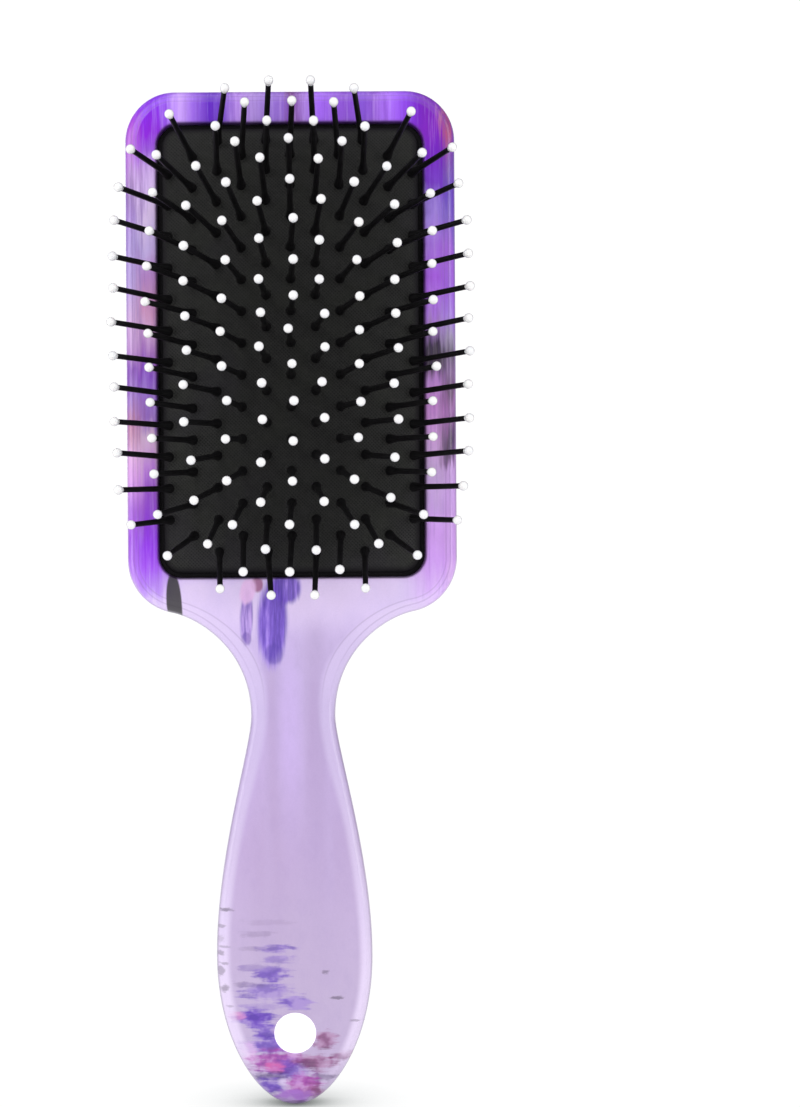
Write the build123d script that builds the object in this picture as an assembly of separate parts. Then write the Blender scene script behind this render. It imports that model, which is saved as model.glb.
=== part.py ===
from build123d import *
import math
import os

os.makedirs("parts", exist_ok=True)

# Paddle hair brush. Millimetres. +Z runs from the handle to the head, the pins point along -Y
# (the front), and the origin is the centre of the hanging hole on the parting plane of the shells.

# ---- outline of the body, seen from the front ----
TOP_Z = 233.5          # top edge of the head
TIP_Z = -19.0          # tip of the handle
HALF_W = 41.0          # half the width of the head
HEAD_R = 12.4          # upper corners of the head
SHOULDER_R = 13.5      # where the head turns in towards the neck
SHOULDER_Z = 117.2     # height of that radius's centre
SHOULDER_ANGLE = math.radians(78.4)
NECK_HALF, NECK_Z = 10.5, 78.0     # narrowest place
GRIP_HALF, GRIP_Z = 19.3, 19.0     # widest place of the handle
# distances from the ends of the outline's Bezier curves to their control points
SHOULDER_PULL = 7.4
NECK_PULL_UP, NECK_PULL_DOWN = 16.3, 7.4
GRIP_PULL_UP, GRIP_PULL_DOWN = 24.5, 22.1
TIP_PULL = 9.0
OFFSET_STEPS = 14      # spans of the spline that follows an inset Bezier curve

# ---- side profile ----
HEAD_FRONT, HEAD_BACK = -6.0, 6.5  # flat faces of the head
HEAD_LOW_Z = 108       # lower end of the flat faces
PROFILE_TOP_Z = 240    # above the head
# y, z of the handle's faces
FRONT_PROFILE = [
    (HEAD_FRONT, HEAD_LOW_Z), (-5.4, 92), (-5.9, 72), (-7.4, 46),
    (-7.9, 22), (-7.2, 4), (-5.6, -10), (-4.2, -20),
]
BACK_PROFILE = [
    (4.2, -20), (5.6, -10), (7.6, 4), (8.6, 22),
    (8.2, 46), (6.6, 72), (6.0, 92), (HEAD_BACK, HEAD_LOW_Z),
]
EDGE_R = 3.0           # rounding of the outer edges
OUTER_EDGE_Y = 3       # the outer edges lie farther than this from the parting plane
WALL = 2.2             # shell wall

# ---- sizes of raw blocks, clear of the body ----
RAW_HALF_X, RAW_HALF_Y = 60, 13
RAW_Z = (-40, 260)
PROFILE_HALF_X = 50
SHELL_REACH = 20       # depth of the block that parts a shell from the body

# ---- window, membrane and tray ----
WIN_Z = 168.8          # centre of the window
WIN_W, WIN_H, WIN_R = 65.8, 112.4, 5.5
LIP = 1.8              # thickness of the lip that holds the membrane
LIP_EDGE_R = 0.8
PAD_GAP = 1.2          # gap between the window's edge and the membrane's standing wall
MEM_T = 1.3            # membrane thickness
FLANGE_T = 1.2
FLANGE_OVER = 4.0      # how far the membrane's flange reaches behind the lip
FLANGE_CLEAR = 0.3     # gap round the flange
DOME_Y0, DOME_H = -5.6, 7.9        # membrane surface at the rim, and its rise at the centre
DOME_PX, DOME_PZ = 2.57, 3.21      # how square the dome is across and along
DOME_STEP_X, DOME_STEPS_X = 3.5, 10    # grid of the dome's surface, steps each side of centre
DOME_STEP_Z, DOME_STEPS_Z = 5.0, 12
DOME_DEPTH = 40        # depth of the solid behind the dome's surface
TRAY_WALL, TRAY_FLOOR_T = 1.5, 1.3
TRAY_FLOOR_Y = 2.0     # inner face of the tray's floor
TRAY_HOLE_R, TRAY_HOLE_Z = 1.2, 150.0
FLANGE_Y = HEAD_FRONT + LIP            # front face of the flange
RIM_Y = FLANGE_Y + FLANGE_T            # front face of the tray
TRAY_BACK_Y = TRAY_FLOOR_Y + TRAY_FLOOR_T

# ---- hanging hole ----
HOLE_R, HOLE_EDGE_R = 4.85, 0.7
BOSS_R = 7.2

# ---- tongue and side beads that locate the shells ----
TONGUE_OUT, TONGUE_H = 1.15, 1.2
TONGUE_CLEAR = 0.05    # outside the tongue and past its end
TONGUE_GAP_IN = 0.4    # inside the tongue
BEAD_R, BEAD_Y = 0.30, -0.7
BEAD_Z = (120.0, 218.0)
BEAD_CLEAR, BEAD_END_CLEAR = 0.05, 0.1

# ---- ribs of the back shell ----
RIB_HALF_T = 0.6
RIB_BACK_Y = HEAD_BACK - 1.5       # within the back wall
CROSS_RIB_Z, CROSS_RIB_HALF = (130.0, WIN_Z, 207.0), 34
LONG_RIB_X, LONG_RIB_Z = (-18.0, 18.0), (114, 224)
GRIP_RIB_Z, GRIP_RIB_HALF, GRIP_RIB_HALF_T = (28.0, 52.0, 76.0), 22, 0.7
GRIP_RIB_Y = (1.5, 7.5)
GRIP_RIB_INSET = WALL - 0.5        # within the side wall
GRIP_RIB_PROFILE_INSET = 1.0       # within the back wall

# ---- pin field ----
PIN_COUNTS = [12, 13, 14, 13, 14, 13, 14, 13, 14, 13, 12]  # pins in each column, from -X to +X
COL_PITCH = 5.97       # between neighbouring columns
ROW_PITCH = 7.75       # between neighbouring pins of one column
FIELD_Z = 169.5        # centre of the pin field
FAN_H, FAN_X, FAN_Z = 7.5, 1.59, 1.87   # how strongly the pins fan out over the dome
END_TOP, END_LOW = (201, 217), (132, 119)  # z where the end rows' lean begins and is full
END_TOP_X, END_LOW_X = 0.11, 0.05      # inward lean of the end rows
END_TOP_Z, END_LOW_Z = 0.070, 0.048    # lean of the end rows towards the handle
END_HALF, END_FADE = 22, 4             # the end rows' lean stops at END_HALF, over END_FADE
CENTRE_HALF = 12                       # the inward lean grows up to this x
SCATTER_X, SCATTER_Z = 0.040, 0.022    # irregular part of the lean
SCATTER_Z_START = 500                  # draws for z follow this number

# ---- one pin, standing along its own +Z from the membrane's surface ----
PIN_L = 20.2           # from the membrane's surface to the centre of the ball
BALL_R = 1.12
BOOT_R, SHAFT_R0, SHAFT_R1 = 1.05, 0.70, 0.64
NECK_R, HOLE_CLEAR = 0.68, 0.04
BORE_L = 6.0           # length of the cutter for a pin's hole
SPIGOT_R, SPIGOT_START, SPIGOT_END = 0.50, PIN_L - 1.0, PIN_L + 0.3
SOCKET_START, SOCKET_CLEAR = PIN_L - 1.2, 0.01
# radius, height
PIN_PROFILE = [
    (0, -2.55), (1.2, -2.55), (1.3, -2.45), (1.3, -1.85), (1.2, -1.75),  # foot
    (NECK_R, -1.75), (NECK_R, 0.25),
    (BOOT_R, 0.25), (BOOT_R, 0.9), (0.97, 2.0), (0.85, 3.2),
    (SHAFT_R0, 4.4), (SHAFT_R1, SPIGOT_START),
    (SPIGOT_R, SPIGOT_START), (SPIGOT_R, SPIGOT_END), (0, SPIGOT_END),
]


# ---- helpers ----
def one(shape):
    """The only solid of a shape."""
    found = shape.solids()
    assert len(found) == 1, len(found)
    return found[0]


def rod_y(x, z, radius, y0, y1):
    return Solid.make_cylinder(radius, y1 - y0, Plane(origin=(x, y0, z), z_dir=(0, 1, 0)))


def block(x0, x1, y0, y1, z0, z1):
    return Solid.make_box(x1 - x0, y1 - y0, z1 - z0, Plane(origin=(x0, y0, z0)))


def window_prism(grow, y0, y1):
    """Prism of the window's shape, grown by a distance all round."""
    with BuildSketch(Plane.XZ.offset(-y0)) as sketch:
        with Locations((0, WIN_Z)):
            RectangleRounded(WIN_W + 2 * grow, WIN_H + 2 * grow, WIN_R + grow)
    return Solid.extrude(sketch.sketch.faces()[0], Vector(0, y1 - y0, 0))


def shoulder_point(radius, angle):
    return (HALF_W - SHOULDER_R + radius * math.cos(angle), SHOULDER_Z - radius * math.sin(angle))


def inset_bezier(curve, d, side):
    """Spline at distance d inside a cubic Bezier curve, mirrored where side is -1."""
    points, tangents = [], []
    for i in range(OFFSET_STEPS + 1):
        u = i / OFFSET_STEPS
        v = 1 - u
        weights = [v ** 3, 3 * u * v ** 2, 3 * u * u * v, u ** 3]
        slopes = [-3 * v ** 2, 3 * v ** 2 - 6 * u * v, 6 * u * v - 3 * u * u, 3 * u * u]
        x, z = (sum(w * p[n] for w, p in zip(weights, curve)) for n in (0, 1))
        dx, dz = (sum(s * p[n] for s, p in zip(slopes, curve)) for n in (0, 1))
        length = math.hypot(dx, dz)
        points.append((side * (x + d * dz / length), z - d * dx / length))
        tangents.append((side * dx / length, dz / length))
    Spline(*points, tangents=[tangents[0], tangents[-1]])


def outline_slab(d, y0, y1):
    """Prism of the body's outline pulled in by d, from y0 to y1."""
    start = shoulder_point(SHOULDER_R, SHOULDER_ANGLE)
    pull = (start[0] - SHOULDER_PULL * math.sin(SHOULDER_ANGLE),
            start[1] - SHOULDER_PULL * math.cos(SHOULDER_ANGLE))
    neck, grip = (NECK_HALF, NECK_Z), (GRIP_HALF, GRIP_Z)
    curves = [
        [start, pull, (NECK_HALF, NECK_Z + NECK_PULL_UP), neck],
        [neck, (NECK_HALF, NECK_Z - NECK_PULL_DOWN), (GRIP_HALF, GRIP_Z + GRIP_PULL_UP), grip],
        [grip, (GRIP_HALF, GRIP_Z - GRIP_PULL_DOWN), (TIP_PULL, TIP_Z), (0, TIP_Z)],
    ]
    half, top = HALF_W - d, TOP_Z - d
    corner_x, corner_z = HALF_W - HEAD_R, TOP_Z - HEAD_R
    diagonal = (HEAD_R - d) * math.sqrt(0.5)
    arc = [shoulder_point(SHOULDER_R - d, a) for a in (SHOULDER_ANGLE, SHOULDER_ANGLE / 2, 0)]
    with BuildLine(Plane.XZ) as line:
        for side in (1, -1):
            for curve in curves:
                if d == 0:
                    Bezier(*[(side * x, z) for x, z in curve])
                else:
                    inset_bezier(curve, d, side)
            ThreePointArc(*[(side * x, z) for x, z in arc])
            Line((side * half, SHOULDER_Z), (side * half, corner_z))
            ThreePointArc(
                (side * half, corner_z),
                (side * (corner_x + diagonal), corner_z + diagonal),
                (side * corner_x, top),
            )
        Line((-corner_x, top), (corner_x, top))
    face = Face(Wire(line.edges()))
    return Solid.extrude(face.moved(Location((0, y0, 0))), Vector(0, y1 - y0, 0))


def profile(d):
    """Side profile of the body, pulled in by d, as a prism across the width."""
    front = [(y + d, z) for y, z in FRONT_PROFILE]
    back = [(y - d, z) for y, z in BACK_PROFILE]
    front_top = (HEAD_FRONT + d, PROFILE_TOP_Z)
    back_top = (HEAD_BACK - d, PROFILE_TOP_Z)
    with BuildLine(Plane.YZ) as line:
        Line(front_top, front[0])
        Spline(*front, tangents=[(0, -1), (0.5, -1)])
        Line(front[-1], back[0])
        Spline(*back, tangents=[(0.5, 1), (0, 1)])
        Line(back[-1], back_top)
        Line(back_top, front_top)
    face = Face(line.wires()[0]).moved(Location((-PROFILE_HALF_X, 0, 0)))
    return Solid.extrude(face, Vector(2 * PROFILE_HALF_X, 0, 0))


# ---- outer body and cavity ----
def is_outer_edge(edge):
    ys = [edge.position_at(t).Y for t in (0, 0.25, 0.5, 0.75, 1)]
    return max(ys) < -OUTER_EDGE_Y or min(ys) > OUTER_EDGE_Y


def is_hole_rim(edge):
    box = edge.bounding_box()
    centre = box.center()
    return (box.size.X < 2.2 * HOLE_R and abs(centre.X) < 1 and abs(centre.Z) < 1
            and edge.length > 20)


def make_body():
    body = one(outline_slab(0, -RAW_HALF_Y, RAW_HALF_Y) & profile(0))
    body = body.fillet(EDGE_R, [e for e in body.edges() if is_outer_edge(e)])
    body = one(body - rod_y(0, 0, HOLE_R, -RAW_HALF_Y, RAW_HALF_Y))
    return body.fillet(HOLE_EDGE_R, [e for e in body.edges() if is_hole_rim(e)])


def make_cavity():
    """Hollow of the body, with the boss round the hanging hole left standing."""
    cavity = one(outline_slab(WALL, -RAW_HALF_Y, RAW_HALF_Y) & profile(WALL))
    return one(cavity - rod_y(0, 0, BOSS_R, -RAW_HALF_Y, RAW_HALF_Y))


# ---- shells ----
def half_shell(body, cavity, y0, y1):
    return one(body & block(-RAW_HALF_X, RAW_HALF_X, y0, y1, *RAW_Z)) - cavity


def side_beads(radius, z0, z1):
    """Upright rods along the left and right sides of the tongue."""
    return [
        Solid.make_cylinder(
            radius, z1 - z0, Plane(origin=(side * (HALF_W - TONGUE_OUT), BEAD_Y, z0), z_dir=(0, 0, 1))
        )
        for side in (-1, 1)
    ]


def is_lip_edge(edge):
    """On the front face, round the window."""
    points = [edge.position_at(t) for t in (0, 0.5, 1)]
    return all(
        abs(p.Y - HEAD_FRONT) < 0.01
        and abs(p.X) < WIN_W / 2 + 0.1
        and abs(p.Z - WIN_Z) < WIN_H / 2 + 0.1
        for p in points
    )


def make_front_shell(body, cavity):
    shell = half_shell(body, cavity, -SHELL_REACH, 0)
    shell = shell - window_prism(0, -12, 0)
    shell = one(shell - window_prism(FLANGE_OVER + FLANGE_CLEAR, FLANGE_Y, 0))
    shell = shell.fillet(LIP_EDGE_R, [e for e in shell.edges() if is_lip_edge(e)])
    depth = TONGUE_H + TONGUE_CLEAR
    recess = outline_slab(TONGUE_OUT - TONGUE_CLEAR, -depth, 1)
    shell = shell - (recess - outline_slab(WALL + TONGUE_GAP_IN, -depth - 1, 2))
    z0, z1 = BEAD_Z
    for groove in side_beads(BEAD_R + BEAD_CLEAR, z0 - BEAD_END_CLEAR, z1 + BEAD_END_CLEAR):
        shell = shell - groove
    return one(shell)


def make_back_shell(body, cavity):
    shell = half_shell(body, cavity, 0, SHELL_REACH)
    tongue = outline_slab(TONGUE_OUT, -TONGUE_H, 0.5) - outline_slab(WALL, -TONGUE_H - 1, 2)
    shell = shell + tongue
    for bead in side_beads(BEAD_R, *BEAD_Z):
        shell = shell + bead
    for z in CROSS_RIB_Z:
        shell = shell + block(-CROSS_RIB_HALF, CROSS_RIB_HALF, TRAY_BACK_Y, RIB_BACK_Y,
                              z - RIB_HALF_T, z + RIB_HALF_T)
    for x in LONG_RIB_X:
        shell = shell + block(x - RIB_HALF_T, x + RIB_HALF_T, TRAY_BACK_Y, RIB_BACK_Y, *LONG_RIB_Z)
    for z in GRIP_RIB_Z:
        rib = block(-GRIP_RIB_HALF, GRIP_RIB_HALF, *GRIP_RIB_Y,
                    z - GRIP_RIB_HALF_T, z + GRIP_RIB_HALF_T)
        rib = rib & outline_slab(GRIP_RIB_INSET, 0, 9) & profile(GRIP_RIB_PROFILE_INSET)
        shell = shell + rib
    return one(shell)


# ---- cushion ----
def make_tray():
    tray = window_prism(FLANGE_OVER, RIM_Y, TRAY_BACK_Y)
    tray = tray - window_prism(FLANGE_OVER - TRAY_WALL, RIM_Y - 1, TRAY_FLOOR_Y)
    return one(tray - rod_y(0, TRAY_HOLE_Z, TRAY_HOLE_R, -5, 5))


def dome_y(x, z):
    """Height of the membrane's outer surface."""
    u, v = abs(x) / (WIN_W / 2), abs(z - WIN_Z) / (WIN_H / 2)
    return DOME_Y0 - DOME_H * (1 - u ** DOME_PX) * (1 - v ** DOME_PZ)


def dome_block(dy):
    """Everything behind the dome's surface, moved back by dy."""
    xs = [i * DOME_STEP_X for i in range(-DOME_STEPS_X, DOME_STEPS_X + 1)]
    zs = [WIN_Z + i * DOME_STEP_Z for i in range(-DOME_STEPS_Z, DOME_STEPS_Z + 1)]
    grid = [[Vector(x, dome_y(x, z) + dy, z) for z in zs] for x in xs]
    return Solid.extrude(Face.make_surface_from_array_of_points(grid), Vector(0, DOME_DEPTH, 0))


def make_membrane(places):
    outer = one(window_prism(-PAD_GAP, -20, RIM_Y) & dome_block(0))
    inner = one(window_prism(-PAD_GAP - MEM_T, -20, RIM_Y + 1) & dome_block(MEM_T))
    membrane = outer + window_prism(FLANGE_OVER, FLANGE_Y, RIM_Y)
    membrane = one(membrane - inner)
    bore = Solid.make_cylinder(NECK_R + HOLE_CLEAR, BORE_L, Plane(origin=(0, 0, -BORE_L / 2)))
    return one(membrane.cut(*[bore.moved(place) for place in places]))


# ---- pins ----
def clamp(value, low=0, high=1):
    return max(low, min(high, value))


def ease(value, start, end):
    """0 at start, 1 at end, smooth between."""
    t = clamp((value - start) / (end - start))
    return t * t * (3 - 2 * t)


def dome_slope(along, power, half, across, across_power):
    """Slope of a dome of height FAN_H, at fractions of the half sizes from its centre."""
    slope = FAN_H * (1 - abs(across) ** across_power) * power * abs(along) ** (power - 1)
    return math.copysign(slope, along) / half


def fan(x, z):
    """Lean of the pin that stands at x, z, as x and z travel per unit of -y."""
    half_w, half_h = WIN_W / 2, WIN_H / 2
    u, v = x / half_w, (z - WIN_Z) / half_h
    lean_x = FAN_X * dome_slope(u, DOME_PX, half_w, v, DOME_PZ)
    lean_z = FAN_Z * dome_slope(v, DOME_PZ, half_h, u, DOME_PX)
    # the end rows lean slightly inward and more towards the handle, except in the corners
    amount = clamp((END_HALF - abs(x)) / END_FADE)
    top, low = ease(z, *END_TOP), ease(z, *END_LOW)
    inward = -clamp(x / CENTRE_HALF, -1, 1)
    lean_x += amount * (top * (END_TOP_X * inward - lean_x) + low * (END_LOW_X * inward - lean_x))
    lean_z -= amount * (END_TOP_Z * top + END_LOW_Z * low)
    return lean_x, lean_z


def scatter(n):
    """Small repeatable number between -1 and 1 for the n-th draw."""
    s = math.sin(n * 12.9898 + 4.1414) * 43758.5453
    return 2 * (s - math.floor(s)) - 1


def pin_columns():
    """Locations of the pins, one list for each column."""
    columns, draw = [], 0
    for col, count in enumerate(PIN_COUNTS):
        x = (col - (len(PIN_COUNTS) - 1) / 2) * COL_PITCH
        places = []
        for i in range(count):
            z = FIELD_Z + (i - (count - 1) / 2) * ROW_PITCH
            draw += 1
            lean_x, lean_z = fan(x, z)
            lean_x += SCATTER_X * scatter(draw)
            lean_z += SCATTER_Z * scatter(draw + SCATTER_Z_START)
            n = math.sqrt(lean_x * lean_x + lean_z * lean_z + 1)
            axis = (lean_x / n, -1 / n, lean_z / n)
            places.append(Plane(origin=(x, dome_y(x, z), z), z_dir=axis).location)
        columns.append(places)
    return columns


def make_pin():
    with BuildSketch(Plane.XZ) as sketch:
        with BuildLine():
            Polyline(*PIN_PROFILE, close=True)
        make_face()
    return Solid.revolve(sketch.sketch.faces()[0], 360, Axis.Z)


def make_ball():
    """Ball tip with a socket for the pin's spigot."""
    ball = Solid.make_sphere(BALL_R, Plane(origin=(0, 0, PIN_L)))
    depth = SPIGOT_END - SOCKET_START + SOCKET_CLEAR
    start = Plane(origin=(0, 0, SOCKET_START))
    return one(ball - Solid.make_cylinder(SPIGOT_R + SOCKET_CLEAR, depth, start))


# ---- build and export ----
body, cavity = make_body(), make_cavity()
columns = pin_columns()
nodes = {
    "front_shell": make_front_shell(body, cavity),
    "back_shell": make_back_shell(body, cavity),
    "cushion_tray": make_tray(),
    "cushion_membrane": make_membrane([place for places in columns for place in places]),
}
pin, ball = make_pin(), make_ball()
for col, places in enumerate(columns, start=1):
    nodes[f"pins_col_{col:02d}"] = Compound([pin.moved(place) for place in places])
    nodes[f"tips_col_{col:02d}"] = Compound([ball.moved(place) for place in places])
for name, shape in nodes.items():
    export_step(shape, f"parts/{name}.step")
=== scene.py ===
"""Paddle hairbrush: a two-part printed body, a domed rubber cushion and ball-tipped pins.

It stands upright. X runs across it (left is -X), Z from the handle's tip to the head's top,
and the pins point to -Y, the front. The hanging hole goes through the origin along Y.
Shape sizes are millimetres; meshes are scaled to metres when they are made.
"""
import bpy
import bmesh
import math
import numpy as np
from functools import cached_property
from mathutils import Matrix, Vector
from mathutils.geometry import delaunay_2d_cdt

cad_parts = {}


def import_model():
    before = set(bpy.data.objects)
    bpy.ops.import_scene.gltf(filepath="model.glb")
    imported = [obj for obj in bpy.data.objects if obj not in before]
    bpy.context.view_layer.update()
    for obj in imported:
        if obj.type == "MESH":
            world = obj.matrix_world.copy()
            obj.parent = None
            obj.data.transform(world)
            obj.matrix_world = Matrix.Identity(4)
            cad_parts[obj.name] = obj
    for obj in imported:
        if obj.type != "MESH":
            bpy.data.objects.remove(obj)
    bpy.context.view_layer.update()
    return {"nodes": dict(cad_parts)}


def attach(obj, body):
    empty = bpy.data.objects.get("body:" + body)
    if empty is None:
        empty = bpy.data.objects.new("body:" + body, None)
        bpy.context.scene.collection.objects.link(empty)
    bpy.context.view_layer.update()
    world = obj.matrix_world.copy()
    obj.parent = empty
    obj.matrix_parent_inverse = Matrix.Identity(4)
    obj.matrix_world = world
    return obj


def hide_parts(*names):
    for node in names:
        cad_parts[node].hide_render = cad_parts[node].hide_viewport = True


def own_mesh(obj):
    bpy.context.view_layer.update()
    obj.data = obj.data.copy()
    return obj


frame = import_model()

MM = 1000.0  # millimetres in a metre

# Body
TOP_Z, TIP_Z, HALF_W = 233.5, -19.0, 41.0
HEAD_R = 12.4  # the head's top corners
SHOULDER_R, SHOULDER_Z, SHOULDER_DEG = 13.5, 117.2, 78.4  # radius, centre height and arc
NECK_ARM = 7.4  # control arm that carries the shoulder's tangent into the neck
OUTLINE_STEP, CURVE_STEP = 0.9, 0.8  # point spacing, and its factor on tight curves
WALL = 2.2
EDGE_R = 3.0  # roll of the rim
ROLL_END, BEVEL_END, BEVEL_DROP = 1.75, 3.35, 0.285  # front bevel, as distances from the rim
CROWN_H, CROWN_RUN = 0.6, 7.0
HOLE_R, BOSS_R = 4.85, 7.2
FRONT_HEAD = 6.0  # depth of the flat head in front of the parting plane

# Window in the front shell, and the cushion held in it
WIN_Z, WIN_W, WIN_H, WIN_R = 168.8, 65.8, 112.4, 5.5
PAD_GAP = 1.2
PAD_W, PAD_H, PAD_R = WIN_W - 2 * PAD_GAP, WIN_H - 2 * PAD_GAP, WIN_R - PAD_GAP
PAD_T = 1.3
PAD_SHOULDER_R = 1.1
DOME_Y, DOME_H, DOME_POWER_X, DOME_POWER_Z = -5.6, 7.9, 2.57, 3.21
FLANGE_FRONT, FLANGE_BACK = -4.2, -3.0  # Y of the flange's faces
FLANGE_OUT = 4.0 + PAD_GAP  # how far the flange reaches beyond the pad

# Pins
PIN_L = 20.2  # foot to ball centre
BALL_R, BALL_NECK_R, BALL_STEPS = 1.12, 0.66, 16
BALL_SPREAD = 0.015  # random variation of the ball radius, as a share
rng = np.random.default_rng(7)

# Depth of each face from the parting plane: (z, front, back)
DEPTHS = np.array([
    (-20, 4.2, 4.2), (-10, 5.6, 5.6), (4, 7.2, 7.6), (22, 7.9, 8.6),
    (46, 7.4, 8.2), (72, 5.9, 6.6), (92, 5.4, 6.0), (108, FRONT_HEAD, 6.5)])
DEPTH_START_SLOPE = 0.25

# Distances from the rim at which the shells have rings
ROLL_INSETS = [0.012, 0.05, 0.115, 0.2, 0.32, 0.48, 0.68, 0.92, 1.2, 1.5]
FRONT_INSETS = ROLL_INSETS + [1.7, 1.745, 1.755, 1.8, 2.3, 2.9, 3.3, 3.345, 3.36, 3.42, 3.8]
BACK_INSETS = ROLL_INSETS + [1.85, 2.2, 2.6, 3.0, 3.4]

# Lip at the parting plane: (inset, height)
PARTING_LIP = [(WALL, 0.0), (0.22, 0.0), (0.06, 0.06), (0.0, 0.22)]
LIP_H = PARTING_LIP[-1][1]
# Rounded rims of the hole and the window: (distance outside, drop below the face)
HOLE_LIP = [(0.75, 0.0), (0.62, 0.02), (0.42, 0.10), (0.22, 0.24), (0.08, 0.44), (0.0, 0.72)]
WINDOW_LIP = [
    (1.0, 0.0), (0.85, 0.02), (0.62, 0.09), (0.38, 0.22), (0.16, 0.42), (0.03, 0.70), (0.0, 0.95)]

# Turned pin: (radius, distance from the foot)
PIN_PROFILE = [
    (1.22, -2.5), (1.3, -2.4), (1.3, -1.9), (1.2, -1.78), (0.70, -1.75), (0.68, -0.25),
    (0.80, 0.05), (1.16, 0.16), (1.24, 0.30), (1.23, 0.50), (1.17, 0.90), (1.08, 1.5),
    (0.98, 2.2), (0.89, 2.9), (0.81, 3.5), (0.755, 4.0), (0.725, 4.5), (0.71, 5.2),
    (0.70, 8.0), (0.685, 12.0), (0.67, 15.5), (0.66, PIN_L - 2.2), (0.665, PIN_L - 1.5),
    (0.63, PIN_L - 1.0), (0.50, PIN_L - 0.9), (0.49, PIN_L + 0.2)]
# Collar behind each ball: (radius, distance from the ball's centre)
BALL_COLLAR = [(0.53, -1.16), (0.64, -1.17), (0.69, -1.10), (0.68, -1.00), (0.665, -0.93)]


# ------------------------------------------------------------------ outline and profiles
def bezier(points, u):
    a, b, c, d = points
    return (1 - u) ** 3 * a + 3 * u * (1 - u) ** 2 * b + 3 * u * u * (1 - u) * c + u ** 3 * d


def bezier_slope(points, u):
    a, b, c, d = points
    return 3 * (1 - u) ** 2 * (b - a) + 6 * u * (1 - u) * (c - b) + 3 * u ** 2 * (d - c)


def body_outline():
    """The body's outline as (x, z, inward nx, nz) rows, from the top's middle down +X and back."""
    tight = OUTLINE_STEP * CURVE_STEP
    corner_x, corner_z = HALF_W - HEAD_R, TOP_Z - HEAD_R
    rows = []
    count = int(corner_x / OUTLINE_STEP)
    for i in range(count):
        rows.append((corner_x * i / count, TOP_Z, 0, -1))
    count = int(HEAD_R * math.pi / 2 / tight)
    for i in range(count):
        turn = math.pi / 2 * i / count
        sin, cos = math.sin(turn), math.cos(turn)
        rows.append((corner_x + HEAD_R * sin, corner_z + HEAD_R * cos, -sin, -cos))
    side = corner_z - SHOULDER_Z
    count = int(side / OUTLINE_STEP)
    for i in range(count):
        rows.append((HALF_W, corner_z - side * i / count, -1, 0))

    arc = math.radians(SHOULDER_DEG)
    centre_x = HALF_W - SHOULDER_R
    count = int(SHOULDER_R * arc / tight)
    for i in range(count):
        turn = arc * i / count
        sin, cos = math.sin(turn), math.cos(turn)
        rows.append((centre_x + SHOULDER_R * cos, SHOULDER_Z - SHOULDER_R * sin, -cos, sin))

    end = (centre_x + SHOULDER_R * math.cos(arc), SHOULDER_Z - SHOULDER_R * math.sin(arc))
    arm = (end[0] - NECK_ARM * math.sin(arc), end[1] - NECK_ARM * math.cos(arc))
    # Neck, handle and tip as Bezier curves: (point spacing, control points)
    curves = [
        (tight, [end, arm, (10.5, 94.3), (10.5, 78.0)]),
        (OUTLINE_STEP, [(10.5, 78.0), (10.5, 70.6), (19.3, 43.5), (19.3, 19.0)]),
        (tight, [(19.3, 19.0), (19.3, -3.1), (9.0, TIP_Z), (0.0, TIP_Z)]),
    ]
    for spacing, points in curves:
        points = np.array(points, float)
        u = np.linspace(0, 1, 400)[:, None]
        lengths = np.linalg.norm(np.diff(bezier(points, u), axis=0), axis=1)
        run = np.concatenate([[0], np.cumsum(lengths)])
        count = int(run[-1] / spacing)
        even = np.interp(np.arange(count) / count * run[-1], run, u[:, 0])[:, None]
        slope = bezier_slope(points, even)
        slope /= np.linalg.norm(slope, axis=1)[:, None]
        for (x, z), (slope_x, slope_z) in zip(bezier(points, even), slope):
            rows.append((x, z, slope_z, -slope_x))
    tip = [(0.0, TIP_Z, 0.0, 1.0)]
    mirrored = [(-x, z, -nx, nz) for x, z, nx, nz in reversed(rows[1:])]
    return np.array(rows + tip + mirrored, float)


OUTLINE = body_outline()


def cubic(knots, values, start_slope, end_slope):
    """Smooth cubic through the knots with the given end slopes, constant beyond them."""
    count = len(knots)
    gaps = np.diff(knots)
    matrix = np.zeros((count, count))
    right = np.zeros(count)
    matrix[0, 0] = matrix[-1, -1] = 1
    right[0], right[-1] = start_slope, end_slope
    for i in range(1, count - 1):
        before, after = gaps[i - 1], gaps[i]
        matrix[i, i - 1:i + 2] = 1 / before, 2 * (1 / before + 1 / after), 1 / after
        right[i] = 3 * ((values[i] - values[i - 1]) / before ** 2
                        + (values[i + 1] - values[i]) / after ** 2)
    slopes = np.linalg.solve(matrix, right)

    def value(at):
        at = np.clip(np.asarray(at, float), knots[0], knots[-1])
        i = np.clip(np.searchsorted(knots, at) - 1, 0, count - 2)
        t = (at - knots[i]) / gaps[i]
        return (values[i] * (1 + 2 * t) * (1 - t) ** 2 + slopes[i] * gaps[i] * t * (1 - t) ** 2
                + values[i + 1] * t * t * (3 - 2 * t)
                + slopes[i + 1] * gaps[i] * t * t * (t - 1))

    return value


front_depth = cubic(DEPTHS[:, 0], DEPTHS[:, 1], DEPTH_START_SLOPE, 0)
back_depth = cubic(DEPTHS[:, 0], DEPTHS[:, 2], DEPTH_START_SLOPE, 0)


def smooth(start, end, value):
    """0 at start, 1 at end, smooth between."""
    t = np.clip((np.asarray(value, float) - start) / (end - start), 0, 1)
    return t * t * (3 - 2 * t)


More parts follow.
